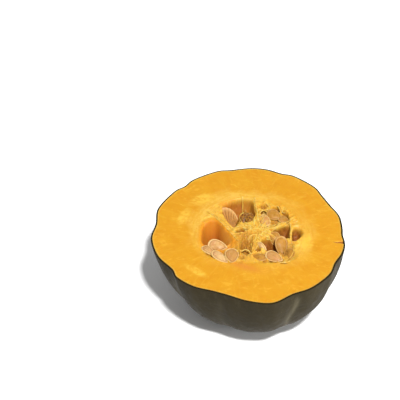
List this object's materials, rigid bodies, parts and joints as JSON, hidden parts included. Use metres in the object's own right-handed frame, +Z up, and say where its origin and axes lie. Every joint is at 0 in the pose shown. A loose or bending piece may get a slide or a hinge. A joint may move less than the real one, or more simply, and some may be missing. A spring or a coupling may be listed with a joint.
{
  "type": "half kabocha squash",
  "caption": "Half of a dark green kabocha squash, cut across, lying cut face up with its seeds and fibres in the open seed cavity.",
  "frame": {"origin": "on the surface that the half rests on, under the middle of its bounding box", "axes": "+Z up, square to the cut face, from the blossom end towards the cut; +Y away from the picture's camera; +X to its right"},
  "size_m": [0.1608, 0.1636, 0.0816],
  "materials": {
    "flesh": "moist, cut vegetable flesh, satin",
    "rind": "waxy, softly mottled, satin",
    "fibre": "moist fibres, satin",
    "seed_coat": "moist seed coat, satin"
  },
  "bodies": {
    "root": {"squash_half": "flesh"}
  },
  "joints": []
}
